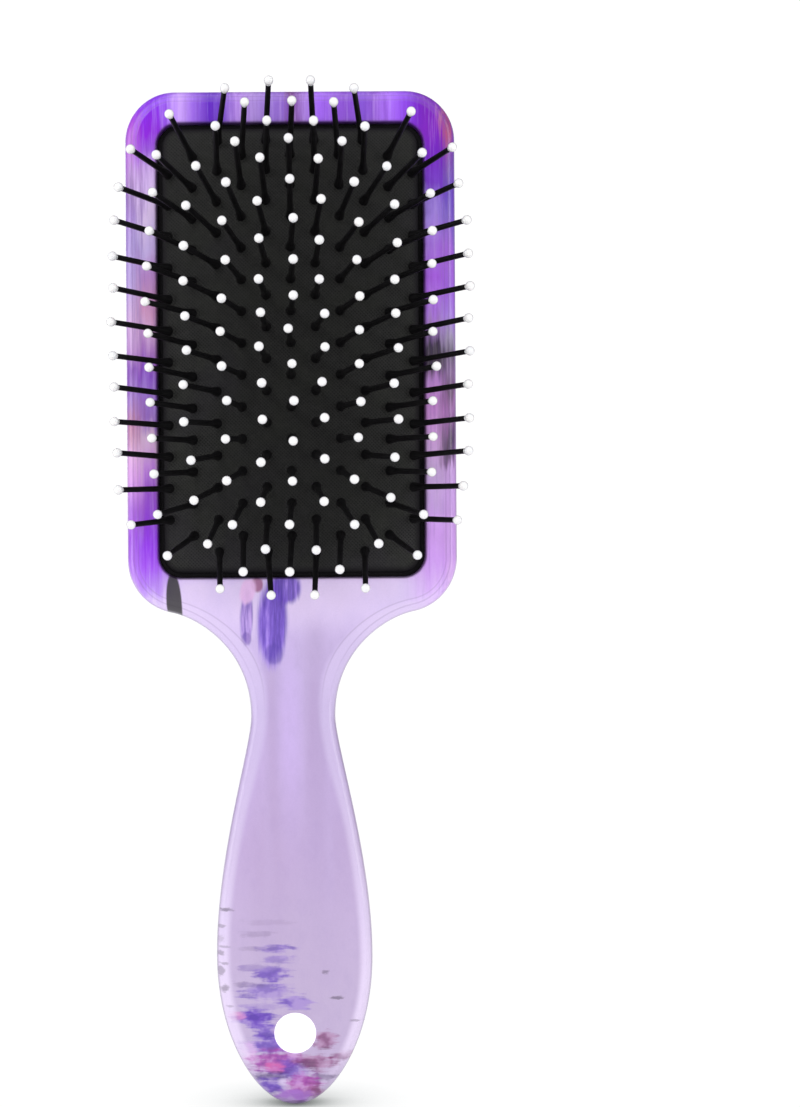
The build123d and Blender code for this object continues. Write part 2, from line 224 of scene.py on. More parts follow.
def edge_distance(x, z):
    """Distance from points to the outline."""
    points = np.stack([x, z], 1)
    distance = np.empty(len(points))
    start = OUTLINE[:, :2]
    along = np.roll(start, -1, axis=0) - start
    squared = (along ** 2).sum(1)
    block = 400  # points handled at once, to bound memory
    for i in range(0, len(points), block):
        gap = points[i:i + block, None, :] - start[None]
        t = np.clip((gap * along).sum(2) / squared, 0, 1)
        distance[i:i + block] = np.sqrt(((gap - t[..., None] * along) ** 2).sum(2)).min(1)
    return distance


def roll(distance):
    """Fall of a quarter-round rim at a distance from the outline."""
    return EDGE_R - np.sqrt(np.maximum(EDGE_R ** 2 - (EDGE_R - distance) ** 2, 0))


def drop_front(distance):
    """Fall of the front face: a tight roll, then a shallow bevel."""
    distance = np.asarray(distance, float)
    bevel = BEVEL_DROP * (BEVEL_END - distance) / (BEVEL_END - ROLL_END)
    fall = np.where(distance < ROLL_END, roll(distance), bevel)
    return np.where(distance >= BEVEL_END, 0, fall)


def drop_back(distance):
    distance = np.asarray(distance, float)
    return np.where(distance < EDGE_R, roll(distance), 0)


def crown(distance, z):
    """Slight crown of the handle's faces; the head stays flat."""
    t = np.clip((np.asarray(distance, float) - BEVEL_END) / CROWN_RUN, 0, 1)
    return CROWN_H * (1 - (1 - t) ** 2) * (1 - smooth(98, 114, z)) * smooth(-16, 0, z)


# ------------------------------------------------------------------ mesh building
class Piece:
    """Collects the vertices and faces of one mesh."""

    def __init__(self):
        self.verts, self.faces = [], []

    def ring(self, x, y, z):
        """Adds a row of points and returns their indices; y may be a single number."""
        start = len(self.verts)
        points = np.stack(np.broadcast_arrays(x, y, z), 1)
        self.verts.extend(tuple(point) for point in points)
        return list(range(start, len(self.verts)))

    def skin(self, rings):
        """Joins each ring to the next with quads."""
        for one, two in zip(rings, rings[1:]):
            for i in range(len(one)):
                j = (i + 1) % len(one)
                self.faces.append((one[i], one[j], two[j], two[i]))

    def flat(self, loop):
        return np.array([(self.verts[i][0], self.verts[i][2]) for i in loop])

    def fill(self, outer, holes, seeds, height):
        """Triangulates on XZ between an outer ring and holes; height gives y for the seeds."""
        loops = [outer] + holes
        points, edges, owners = [], [], []
        for loop in loops:
            start, count = len(points), len(loop)
            points += [Vector((x, z)) for x, z in self.flat(loop)]
            owners += loop
            edges += [(start + i, start + (i + 1) % count) for i in range(count)]
        owners += self.ring(seeds[:, 0], height(*seeds.T), seeds[:, 1])
        points += [Vector((x, z)) for x, z in seeds]
        places, _, faces, sources, _, _ = delaunay_2d_cdt(points, edges, [], 0, 1e-7)
        index = [owners[min(source)] if source else None for source in sources]
        faces = [face for face in faces if all(index[i] is not None for i in face)]
        centres = np.array([np.mean([places[i] for i in face], axis=0) for face in faces])
        keep = inside(centres, self.flat(outer))
        for hole in holes:
            keep &= ~inside(centres, self.flat(hole))
        self.faces += [tuple(index[i] for i in face) for face, kept in zip(faces, keep) if kept]

    def lathe(self, origin, axis, profile, sides):
        """Adds a turned solid; profile rows are (radius, distance along the axis)."""
        axis = Vector(axis).normalized()
        helper = Vector((0, 0, 1)) if abs(axis.z) < 0.9 else Vector((1, 0, 0))
        side = axis.cross(helper).normalized()
        up = np.array(axis.cross(side))
        side, axis = np.array(side), np.array(axis)
        turn = np.arange(sides) / sides * 2 * math.pi
        rings = []
        for radius, along in profile:
            circle_points = (origin + axis * along + np.outer(np.cos(turn) * radius, side)
                             + np.outer(np.sin(turn) * radius, up))
            rings.append(self.ring(*circle_points.T))
        self.skin(rings)
        start, end = [self.ring(*(origin + axis * profile[k][1]).reshape(3, 1))[0]
                      for k in (0, -1)]
        for i in range(sides):
            j = (i + 1) % sides
            self.faces.append((rings[0][j], rings[0][i], start))
            self.faces.append((rings[-1][i], rings[-1][j], end))

    def make(self, name, sharp_degrees):
        """Makes the object; edges bent by more than sharp_degrees stay sharp."""
        mesh = bpy.data.meshes.new(name)
        mesh.from_pydata([(x / MM, y / MM, z / MM) for x, y, z in self.verts], [], self.faces)
        bm = bmesh.new()
        bm.from_mesh(mesh)
        loose = [vert for vert in bm.verts if not vert.link_faces]
        bmesh.ops.delete(bm, geom=loose, context="VERTS")
        bmesh.ops.recalc_face_normals(bm, faces=bm.faces)
        bm.to_mesh(mesh)
        bm.free()
        mesh.shade_smooth()
        mesh.set_sharp_from_angle(angle=math.radians(sharp_degrees))
        mesh.update()
        return link(name, mesh)


def link(name, data):
    obj = bpy.data.objects.new(name, data)
    bpy.context.scene.collection.objects.link(obj)
    return obj


def register(obj, carrier, node):
    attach(obj, carrier)
    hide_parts(node)


def inside(points, polygon):
    """Even-odd test of points against a closed polygon."""
    x, z = points[:, 0], points[:, 1]
    result = np.zeros(len(points), bool)
    for (x0, z0), (x1, z1) in zip(polygon, np.roll(polygon, -1, axis=0)):
        if z0 != z1:
            result ^= ((z0 > z) != (z1 > z)) & (x < (x1 - x0) * (z - z0) / (z1 - z0) + x0)
    return result


def shifted(rows, distance):
    """Points of an outline moved along its normals."""
    return rows[:, :2] + distance * rows[:, 2:]


def rounded(width, height, radius, step):
    """Rounded rectangle round the window's centre as (x, z, outward nx, nz) rows."""
    rows = []
    half_x, half_z = width / 2 - radius, height / 2 - radius
    count = max(8, int(radius * math.pi / 2 / (step * 0.6)))
    for side_x, side_z, start in ((1, 1, 0), (-1, 1, 90), (-1, -1, 180), (1, -1, 270)):
        for i in range(count + 1):
            turn = math.radians(start + 90 * i / count)
            nx, nz = math.cos(turn), math.sin(turn)
            rows.append((side_x * half_x + radius * nx,
                         WIN_Z + side_z * half_z + radius * nz, nx, nz))
        x, z, nx, nz = rows[-1]
        if start in (0, 180):
            run, run_x, run_z = 2 * half_x, -side_x, 0
        else:
            run, run_x, run_z = 2 * half_z, 0, -side_z
        parts = int(run / step)
        rows += [(x + run_x * run * i / parts, z + run_z * run * i / parts, nx, nz)
                 for i in range(1, parts)]
    return np.array(rows, float)


def circle(radius, count, x=0.0, z=0.0):
    turn = np.arange(count) / count * 2 * math.pi
    return np.stack([x + radius * np.cos(turn), z + radius * np.sin(turn)], 1)


def hex_grid(x0, x1, z0, z1, spacing):
    points = []
    row = 0
    z = z0
    while z <= z1:
        x = x0 + (spacing / 2 if row % 2 else 0)
        while x <= x1:
            points.append((x, z))
            x += spacing
        z += spacing * 0.866
        row += 1
    return np.array(points, float)


# ------------------------------------------------------------------ body shells
def face_seeds(spacing, rim_gap, hole_r, window_gap):
    """Grid points of a body face, clear of the rim, the hole and, if given a gap, the window."""
    points = hex_grid(-40, 40, TIP_Z, TOP_Z, spacing)
    points = points[inside(points, OUTLINE[:, :2])]
    x, z = points.T
    keep = (edge_distance(x, z) > rim_gap) & (np.hypot(x, z) > hole_r)
    if window_gap:
        outside = np.maximum(np.abs(x) - WIN_W / 2, np.abs(z - WIN_Z) - WIN_H / 2)
        keep &= outside > window_gap
    return points[keep]


def shell(name, node, sign, depth, drop, insets, window):
    """One half of the body. sign is -1 for the front shell and +1 for the back one."""
    piece = Piece()

    def ring(x, y, z):
        return piece.ring(x, sign * y, z)

    def surface(distance, z):
        return depth(z) - drop(distance) + crown(distance, z)

    def outer_y(x, z):
        return surface(edge_distance(x, z), z)

    def inner_y(z):
        y = depth(z) - WALL
        if window:
            y = y + (-FLANGE_FRONT - y) * smooth(104.5, 107.0, z)
        return y

    # rim, from the wall's inside over the parting lip and the side to the face
    rings = []
    for inset, height in PARTING_LIP:
        x, z = shifted(OUTLINE, inset).T
        rings.append(ring(x, height, z))
    x, z = OUTLINE[:, :2].T
    for share in (0.35, 0.7, 1.0):
        rings.append(ring(x, LIP_H + (depth(z) - EDGE_R - LIP_H) * share, z))
    for inset in insets:
        x, z = shifted(OUTLINE, inset).T
        rings.append(ring(x, surface(inset, z), z))
    piece.skin(rings)

    # hanging hole, from the face to the parting plane and back up round the boss
    hole = []
    for out, fall in HOLE_LIP:
        x, z = circle(HOLE_R + out, 72).T
        hole.append(ring(x, outer_y(x, z) - fall, z))
    for radius, height in ((HOLE_R, 0.10), (HOLE_R + 0.12, 0.0), (BOSS_R, 0.0)):
        x, z = circle(radius, 72).T
        hole.append(ring(x, height, z))
    hole.append(ring(x, depth(z) - WALL, z))
    piece.skin(hole)
    outer_holes, inner_holes = [hole[0]], [hole[-1]]

    if window:
        rows = rounded(WIN_W, WIN_H, WIN_R, step=1.0)
        levels = [(out, -FRONT_HEAD + fall) for out, fall in WINDOW_LIP]
        levels += [(0.0, FLANGE_FRONT - 0.15), (0.15, FLANGE_FRONT)]
        sides = []
        for out, y in levels:
            x, z = shifted(rows, out).T
            sides.append(piece.ring(x, y, z))
        piece.skin(sides)
        outer_holes.append(sides[0])
        inner_holes.append(sides[-1])

    seeds = face_seeds(1.7, insets[-1] + 0.8, HOLE_R + 1.5, 1.8 if window else None)
    piece.fill(rings[-1], outer_holes, seeds, lambda x, z: sign * outer_y(x, z))

    # inner face, one wall thickness behind, with a small chamfer at the rim
    chamfer = 0.5
    x, z = shifted(OUTLINE, WALL).T
    inner_rim = ring(x, inner_y(z) - chamfer, z)
    x, z = shifted(OUTLINE, WALL + chamfer).T
    inner_face = ring(x, inner_y(z), z)
    piece.skin([rings[0], inner_rim, inner_face])
    seeds = face_seeds(4.0, WALL + 2.0, BOSS_R + 1.5, 1.5 if window else None)
    piece.fill(inner_face, inner_holes, seeds, lambda x, z: sign * inner_y(z))

    obj = piece.make(name, 50)
    # the print follows the rim, so each vertex carries its distance from it
    edge = obj.data.attributes.new("edge", "FLOAT", "POINT")
    places = np.array([(vert.co.x * MM, vert.co.z * MM) for vert in obj.data.vertices])
    edge.data.foreach_set("value", edge_distance(*places.T).astype(np.float32))
    register(obj, "root", node)
    return obj


front = shell("front_shell_skin", "front_shell", -1, front_depth, drop_front, FRONT_INSETS, True)
back = shell("back_shell_skin", "back_shell", 1, back_depth, drop_back, BACK_INSETS, False)


# ------------------------------------------------------------------ pins, read from the CAD nodes
def islands(node):
    """Vertices of each separate solid of a CAD node."""
    bm = bmesh.new()
    bm.from_mesh(frame["nodes"][node].data)
    bmesh.ops.remove_doubles(bm, verts=bm.verts, dist=1e-6)
    bm.verts.ensure_lookup_table()
    seen, solids = set(), []
    for start in bm.verts:
        if start.index in seen:
            continue
        stack, places = [start], []
        seen.add(start.index)
        while stack:
            vert = stack.pop()
            places.append(vert.co[:])
            for edge in vert.link_edges:
                other = edge.other_vert(vert)
                if other.index not in seen:
                    seen.add(other.index)
                    stack.append(other)
        solids.append(np.array(places) * MM)
    bm.free()
    return solids


def ball_profile():
    """The collar, then the ball from its neck to its far pole."""
    rows = list(BALL_COLLAR)
    arc = math.pi - math.asin(BALL_NECK_R / BALL_R)
    for i in range(1, BALL_STEPS + 1):
        turn = arc - arc * i / BALL_STEPS
        rows.append((max(BALL_R * math.sin(turn), 0.02), BALL_R * math.cos(turn)))
    return rows


def pin_column(column):
    """One column of pins and their balls; returns both objects and the pins' feet."""
    shafts = islands(f"pins_col_{column}")
    pins, balls, feet = Piece(), Piece(), []
    for tip in islands(f"tips_col_{column}"):
        centre = (tip.min(0) + tip.max(0)) / 2
        shaft = min(shafts, key=lambda solid: np.linalg.norm(solid - centre, axis=1).min())
        middle = shaft.mean(0)
        axis = np.linalg.svd(shaft - middle, full_matrices=False)[2][0]
        if axis @ (centre - middle) < 0:
            axis = -axis
        foot = centre - axis * PIN_L
        feet.append((foot[0], foot[2]))
        pins.lathe(foot, axis, PIN_PROFILE, 16)
        size = 1 + BALL_SPREAD * rng.standard_normal()
        balls.lathe(centre, axis, [(radius * size, at) for radius, at in ball_profile()], 22)
    pins = pins.make(f"pins_{column}", 40)
    balls = balls.make(f"balls_{column}", 60)
    register(pins, f"pin_col_{column}", f"pins_col_{column}")
    register(balls, f"pin_col_{column}", f"tips_col_{column}")
    return pins, balls, feet


columns = [pin_column(f"{i:02d}") for i in range(1, 12)]
FEET = np.array([foot for _, _, feet in columns for foot in feet])


# ------------------------------------------------------------------ rubber membrane
def dome(x, z):
    across, up = np.abs(x) / (WIN_W / 2), np.abs(z - WIN_Z) / (WIN_H / 2)
    return DOME_Y - DOME_H * (1 - across ** DOME_POWER_X) * (1 - up ** DOME_POWER_Z)


def foot_distance(x, z):
    return np.hypot(x[:, None] - FEET[None, :, 0], z[:, None] - FEET[None, :, 1]).min(1)


def swell():
    """Air pressure under the rubber, as grid lines in X and Z and the movement along Y.

    A coarse copy is simulated, held at its rim and at every pin.
    """
    spacing, margin = 2.1, 0.4
    sim_unit = 100.0  # millimetres per simulated metre: ten times larger suits the solver
    max_move = 0.40
    count_x, count_z = int(PAD_W / spacing), int(PAD_H / spacing)
    xs = np.linspace(-PAD_W / 2 + margin, PAD_W / 2 - margin, count_x)
    zs = np.linspace(WIN_Z - PAD_H / 2 + margin, WIN_Z + PAD_H / 2 - margin, count_z)
    x, z = np.meshgrid(xs, zs, indexing="ij")
    places = np.stack([x, dome(x, z), z], -1).reshape(-1, 3) / sim_unit
    faces = []
    for i in range(count_x - 1):
        for j in range(count_z - 1):
            k = i * count_z + j
            faces.append((k, k + count_z, k + count_z + 1, k + 1))
    mesh = bpy.data.meshes.new("swell")
    mesh.from_pydata(places.tolist(), [], faces)
    mesh.update()
    obj = link("swell", mesh)

    hold = obj.vertex_groups.new(name="hold")
    near = foot_distance(places[:, 0] * sim_unit, places[:, 2] * sim_unit)
    for k in range(len(places)):
        i, j = divmod(k, count_z)
        if i in (0, count_x - 1) or j in (0, count_z - 1):
            weight = 1.0
        else:  # full hold within 0.9 mm of a foot, fading out over the next 1.4 mm
            weight = float(np.clip(1.0 - (near[k] - 0.9) / 1.4, 0, 1)) * 0.9
        if weight > 0:
            hold.add([k], weight, "REPLACE")

    cloth = obj.modifiers.new("cloth", "CLOTH")
    settings = cloth.settings
    settings.quality = 8
    settings.mass = 0.3
    settings.tension_stiffness = settings.compression_stiffness = 16
    settings.shear_stiffness = 8
    settings.bending_stiffness = 1.5
    settings.vertex_group_mass = "hold"
    settings.use_pressure = True
    settings.uniform_pressure_force = 7
    settings.effector_weights.gravity = 0
    last_frame = 20
    cloth.point_cache.frame_start, cloth.point_cache.frame_end = 1, last_frame
    scene = bpy.context.scene
    for i in range(1, last_frame + 1):
        scene.frame_set(i)
    result = obj.evaluated_get(bpy.context.evaluated_depsgraph_get())
    moved = np.array([vert.co for vert in result.data.vertices], float) * sim_unit
    scene.frame_set(1)
    move = (moved[:, 1] - places[:, 1] * sim_unit).reshape(count_x, count_z)
    bpy.data.objects.remove(obj)
    bpy.data.meshes.remove(mesh)
    return xs, zs, np.clip(move, -max_move, max_move)


SWELL_X, SWELL_Z, SWELL = swell()


def swollen(x, z):
    """The swell's movement between its grid points."""
    across = np.clip((x - SWELL_X[0]) / (SWELL_X[1] - SWELL_X[0]), 0, len(SWELL_X) - 1.001)
    up = np.clip((z - SWELL_Z[0]) / (SWELL_Z[1] - SWELL_Z[0]), 0, len(SWELL_Z) - 1.001)
    i, j = across.astype(int), up.astype(int)
    u, v = smooth(0, 1, across - i), smooth(0, 1, up - j)
    return ((1 - u) * (1 - v) * SWELL[i, j] + u * (1 - v) * SWELL[i + 1, j]
            + (1 - u) * v * SWELL[i, j + 1] + u * v * SWELL[i + 1, j + 1])


def membrane():
    piece = Piece()
    rows = rounded(PAD_W, PAD_H, PAD_R, step=0.9)

    def flat_ring(out, y):
        x, z = shifted(rows, out).T
        return piece.ring(x, y, z)

    def dome_ring(inset, lower):
        x, z = shifted(rows, -inset).T
        return piece.ring(x, dome(x, z) + lower, z)

    def shoulder(inset):
        """Fall of the dome's rounded shoulder."""
        radius = PAD_SHOULDER_R
        if inset >= radius:
            return 0.0
        return radius - math.sqrt(max(radius ** 2 - (radius - inset) ** 2, 0))

    def within(points, inset):
        return points[inside(points, shifted(rows, -inset))]

    def pad_grid(spacing):
        return hex_grid(-PAD_W / 2, PAD_W / 2, WIN_Z - PAD_H / 2, WIN_Z + PAD_H / 2, spacing)

    def collar(x, z):
        """Small moulded collar where each pin leaves the rubber, with a faint dimple round it."""
        near = foot_distance(x, z)
        return -0.42 * (1 - smooth(1.15, 1.75, near)) + 0.10 * np.exp(-((near - 2.2) / 0.8) ** 2)

    # flange from back to front, then the root of the dome: (distance outside, y)
    flange = [
        (FLANGE_OUT - 0.2, FLANGE_BACK), (FLANGE_OUT, FLANGE_BACK - 0.2),
        (FLANGE_OUT, FLANGE_FRONT + 0.2), (FLANGE_OUT - 0.2, FLANGE_FRONT + 0.02),
        (0.5, FLANGE_FRONT + 0.02), (0.15, FLANGE_FRONT - 0.13), (0.0, FLANGE_FRONT - 0.5)]
    rings = [flat_ring(out, y) for out, y in flange]
    for inset in (0.0, 0.03, 0.12, 0.28, 0.5, 0.8, 1.1, 1.4):
        rings.append(dome_ring(inset, shoulder(inset)))
    piece.skin(rings)

    seeds = within(pad_grid(0.95), 1.9)
    seeds = seeds[foot_distance(*seeds.T) > 2.45]
    groups = [seeds]
    for foot in FEET:
        groups.append([foot])
        # (radius, count) of the point circles round a foot
        for radius, count in ((0.6, 8), (1.1, 14), (1.35, 16), (1.6, 18), (1.85, 18), (2.2, 18)):
            groups.append(circle(radius, count, *foot))
    seeds = within(np.concatenate(groups), 1.6)
    piece.fill(rings[-1], [], seeds, lambda x, z: dome(x, z) + collar(x, z) + swollen(x, z))

    # underside
    chamfer = 0.6
    under = [rings[0], flat_ring(-PAD_T, FLANGE_BACK), dome_ring(PAD_T, PAD_T + chamfer),
             dome_ring(PAD_T + chamfer, PAD_T)]
    piece.skin(under)
    piece.fill(under[-1], [], within(pad_grid(2.6), 3.2), lambda x, z: dome(x, z) + PAD_T)
    return piece.make("cushion_rubber", 55)


pad = membrane()
register(pad, "root", "cushion_membrane")


# ------------------------------------------------------------------ shader building
def srgb(*rgb):
    """Display colour, 0 to 255, as the linear values a shader wants."""
    shares = [c / 255 for c in rgb]
    return tuple(c / 12.92 if c <= 0.04045 else ((c + 0.055) / 1.055) ** 2.4
                 for c in shares) + (1.0,)


class Value:
    """A shader output; arithmetic on it adds math nodes."""

    def __init__(self, mat, socket):
        self.mat, self.socket = mat, socket

    def __add__(self, other):
        return self.mat.math("ADD", self, other)

    def __radd__(self, other):
        return self.mat.math("ADD", other, self)

    def __sub__(self, other):
        return self.mat.math("SUBTRACT", self, other)

    def __rsub__(self, other):
        return self.mat.math("SUBTRACT", other, self)

    def __mul__(self, other):
        return self.mat.math("MULTIPLY", self, other)

    def __truediv__(self, other):
        return self.mat.math("DIVIDE", self, other)

    def __abs__(self):
        return self.mat.math("ABSOLUTE", self)


class Shader:
    """A Principled material whose textures work in millimetres; colours are 0 to 255."""

    def __init__(self, name):
        self.material = bpy.data.materials.new(name)
        self.material.use_nodes = True
        self.tree = self.material.node_tree
        self.tree.nodes.clear()
        surface = self.node("BsdfPrincipled")
        self.bsdf = surface.socket.node
        output = self.tree.nodes.new("ShaderNodeOutputMaterial")
        self.put(output.inputs[0], surface)
        place = self.node("TexCoord", output="Object")
        self.position = self.node("VectorMath", {0: place, "Scale": MM}, operation="SCALE")

    @cached_property
    def xyz(self):
        node = self.node("SeparateXYZ", {0: self.position}).socket.node
        return [Value(self, socket) for socket in node.outputs]

    x = property(lambda self: self.xyz[0])
    y = property(lambda self: self.xyz[1])
    z = property(lambda self: self.xyz[2])

    def put(self, socket, value):
        if isinstance(value, Value):
            self.tree.links.new(value.socket, socket)
        else:
            socket.default_value = value

    def node(self, kind, inputs=None, output=0, **settings):
        node = self.tree.nodes.new("ShaderNode" + kind)
        for key, value in settings.items():
            setattr(node, key, value)
        for key, value in (inputs or {}).items():
            self.put(node.inputs[key], value)
        return Value(self, node.outputs[output])

    def set(self, **inputs):
        for key, value in inputs.items():
            self.put(self.bsdf.inputs[key.replace("_", " ")], value)

    def math(self, operation, one, two=0.0, three=0.0, clamp=False):
        inputs = {0: one, 1: two, 2: three}
        return self.node("Math", inputs, operation=operation, use_clamp=clamp)

    def scaled(self, value, factor, offset):
        return self.math("MULTIPLY_ADD", value, factor, offset)

    def hypot(self, one, two):
        return self.math("SQRT", one * one + two * two)

    def fade(self, value, zero_at, one_at):
        """0 at zero_at, 1 at one_at, smooth between; either may be the larger."""
        ends = (0.0, 1.0) if zero_at <= one_at else (1.0, 0.0)
        low, high = sorted((zero_at, one_at))
        inputs = {0: value, 1: low, 2: high, 3: ends[0], 4: ends[1]}
        return self.node("MapRange", inputs, interpolation_type="SMOOTHSTEP")

    def band(self, value, start, end, soft):
        """1 between start and end, fading over soft on either side of each."""
        return (self.fade(value, start - soft, start + soft)
                * self.fade(value, end + soft, end - soft))

    def vector(self, x, y, z):
        return self.node("CombineXYZ", {0: x, 1: y, 2: z})

    def noise(self, scale, detail, rough=0.5, distort=0.0, at=None):
        inputs = {"Vector": at or self.position, "Scale": scale, "Detail": detail,
                  "Roughness": rough, "Distortion": distort}
        return self.node("TexNoise", inputs, "Fac")

    def streaks(self, scales, shift=(0, 0), **noise):
        """Noise with its own scale along X, Y and Z, shifted along X and Z."""
        at = self.vector(self.scaled(self.x, scales[0], shift[0]), self.y * scales[1],
                         self.scaled(self.z, scales[2], shift[1]))
        return self.noise(1.0, at=at, **noise)

    def ramp(self, factor, *stops):
        """Colour ramp; each stop is (position, red, green, blue)."""
        colour = self.node("ValToRGB", {0: factor})
        elements = colour.socket.node.color_ramp.elements
        elements.remove(elements[1])
        elements[0].position = stops[0][0]
        elements[0].color = srgb(*stops[0][1:])
        for position, *rgb in stops[1:]:
            elements.new(position).color = srgb(*rgb)
        return colour

    def along(self, value, stops):
        """Colour ramp along a coordinate; stop positions are millimetres."""
        low, run = stops[0][0], stops[-1][0] - stops[0][0]
        share = self.math("DIVIDE", value - low, run, clamp=True)
        return self.ramp(share, *[((at - low) / run, *rgb) for at, *rgb in stops])

    def mix(self, factor, under, over, blend="MIX"):
        under, over = [srgb(*c) if isinstance(c, tuple) else c for c in (under, over)]
        return self.node("Mix", {0: factor, 6: under, 7: over}, 2,
                         data_type="RGBA", blend_type=blend)

    def bump(self, height, strength, distance):
        """Bump normal; distance is in metres."""
        return self.node("Bump", {"Strength": strength, "Distance": distance, "Height": height})

    def ellipse(self, x, z, half_w, half_h, soft, wobble=None, degrees=0):
        """Soft-edged ellipse mask, 1 inside; wobble disturbs its edge."""
        cos, sin = math.cos(math.radians(degrees)), math.sin(math.radians(degrees))
        dx, dz = self.x - x, self.z - z
        radius = self.hypot((dx * cos + dz * sin) / half_w, (dx * -sin + dz * cos) / half_h)
        if wobble is not None:
            radius = radius + wobble
        return self.fade(radius, 1.0 + soft, 1.0 - soft)

    def patches(self, colour, rows, soft, wobble=None, masks=(), inks=None):
        """Lays ellipses over a colour.

        Rows are (x, z, half width, half height, strength, ink, degrees if turned);
        an ink is a colour or a name in inks.
        """
        for x, z, half_w, half_h, strength, ink, *degrees in rows:
            amount = self.ellipse(x, z, half_w, half_h, soft, wobble, *degrees)
            for mask in masks:
                amount = amount * mask
            if isinstance(ink, str):
                ink = inks[ink]
            colour = self.mix(amount * strength, colour, ink)
        return colour

    def window_distance(self, width, height, radius):
        """Signed distance outside a rounded rectangle round the window's centre."""
        over_x = abs(self.x - 0.0) - (width / 2 - radius)
        over_z = abs(self.z - WIN_Z) - (height / 2 - radius)
        corner = self.hypot(self.math("MAXIMUM", over_x, 0.0), self.math("MAXIMUM", over_z, 0.0))
        within = self.math("MINIMUM", self.math("MAXIMUM", over_x, over_z), 0.0)
        return corner + within - radius


# ------------------------------------------------------------------ printed plastic
# Colours along Z, or along X for TOP: (position, red, green, blue)
HANDLE = [
    (-19, 196, 178, 214), (10, 192, 174, 210), (30, 192, 172, 211), (45, 189, 166, 210),
    (58, 193, 170, 217), (66, 193, 170, 218), (80, 190, 169, 215), (90, 196, 176, 222),
    (98, 210, 190, 236), (106, 224, 205, 246), (114, 230, 210, 249)]
# Painted highlight: colours of the pale sheen band on the handle's rim, along Z
PAINTED_SHEEN_COLOURS = [
    (-19, 238, 222, 252), (14, 236, 221, 251), (30, 224, 209, 242), (45, 214, 199, 232),
    (66, 206, 190, 228), (80, 206, 190, 230), (96, 218, 201, 240), (108, 232, 214, 250)]
LEFT_OUTER = [
    (104, 236, 216, 250), (110, 200, 160, 240), (115, 174, 116, 230), (123, 158, 86, 220),
    (131, 168, 104, 214), (139, 216, 160, 228), (144, 224, 176, 223), (148, 196, 146, 178),
    (152, 176, 118, 150), (158, 160, 124, 196), (165, 132, 80, 176), (170, 188, 146, 202),
    (177, 196, 162, 206), (186, 176, 154, 210), (195, 164, 144, 204), (202, 164, 134, 202),
    (208, 140, 108, 168), (213, 176, 136, 200), (218, 186, 118, 214), (224, 170, 84, 210),
    (233, 150, 60, 220)]
LEFT_INNER = [
    (104, 222, 200, 250), (109, 184, 140, 240), (115, 170, 102, 243), (121, 158, 86, 238),
    (127, 150, 84, 214), (133, 158, 96, 206), (138, 194, 138, 222), (144, 214, 174, 218),
    (148, 210, 178, 212), (152, 158, 118, 198), (158, 164, 126, 214), (163, 146, 94, 206),
    (168, 176, 124, 200), (173, 220, 178, 224), (178, 216, 158, 200), (183, 196, 146, 196),
    (188, 192, 146, 210), (194, 204, 184, 236), (202, 222, 200, 238), (210, 224, 196, 248),
    (214, 204, 170, 232), (218, 160, 104, 220), (223, 146, 62, 218), (233, 136, 62, 230)]
RIGHT_INNER = [
    (104, 226, 196, 250), (115, 212, 166, 244), (123, 220, 172, 249), (131, 216, 180, 242),
    (139, 210, 180, 228), (147, 218, 172, 230), (154, 206, 146, 216), (161, 196, 146, 216),
    (165, 58, 50, 60), (170, 60, 48, 68), (174, 176, 138, 206), (178, 194, 140, 244),
    (186, 186, 118, 242), (194, 180, 128, 235), (202, 174, 144, 234), (206, 158, 130, 218),
    (210, 134, 84, 208), (216, 118, 50, 190), (222, 128, 44, 188), (233, 116, 40, 176)]
RIGHT_OUTER = [
    (104, 226, 200, 250), (111, 216, 178, 234), (117, 205, 160, 232), (125, 200, 156, 225),
    (133, 200, 160, 225), (140, 196, 158, 216), (142, 96, 60, 104), (146, 52, 30, 58),
    (149, 90, 56, 96), (154, 158, 106, 168), (158, 96, 64, 96), (163, 126, 94, 140),
    (168, 80, 72, 84), (172, 150, 138, 168), (178, 168, 130, 222), (186, 161, 106, 220),
    (194, 162, 103, 214), (202, 122, 96, 192), (208, 100, 66, 184), (214, 108, 70, 166),
    (219, 120, 50, 160), (224, 168, 70, 110), (229, 120, 40, 120), (233, 190, 150, 220)]
TOP = [
    (-36, 146, 70, 222), (-31, 162, 112, 238), (-27, 206, 168, 251), (-24, 162, 116, 230),
    (-20, 106, 58, 195), (-17, 124, 84, 200), (-13, 182, 142, 229), (-9, 176, 146, 218),
    (-5, 156, 122, 212), (-1.5, 150, 112, 206), (0, 104, 40, 110), (1.5, 134, 88, 168),
    (4, 176, 136, 226), (7, 172, 120, 246), (11, 158, 108, 226), (14, 141, 90, 206),
    (18, 142, 98, 214), (21, 150, 102, 210), (24.5, 180, 128, 249), (28, 154, 95, 235),
    (32, 128, 72, 212), (36, 118, 44, 172)]
SIDE_WALL = [
    (104, 224, 198, 248), (140, 204, 158, 232), (165, 182, 132, 222), (195, 150, 98, 222),
    (215, 140, 78, 216), (233, 168, 112, 228)]
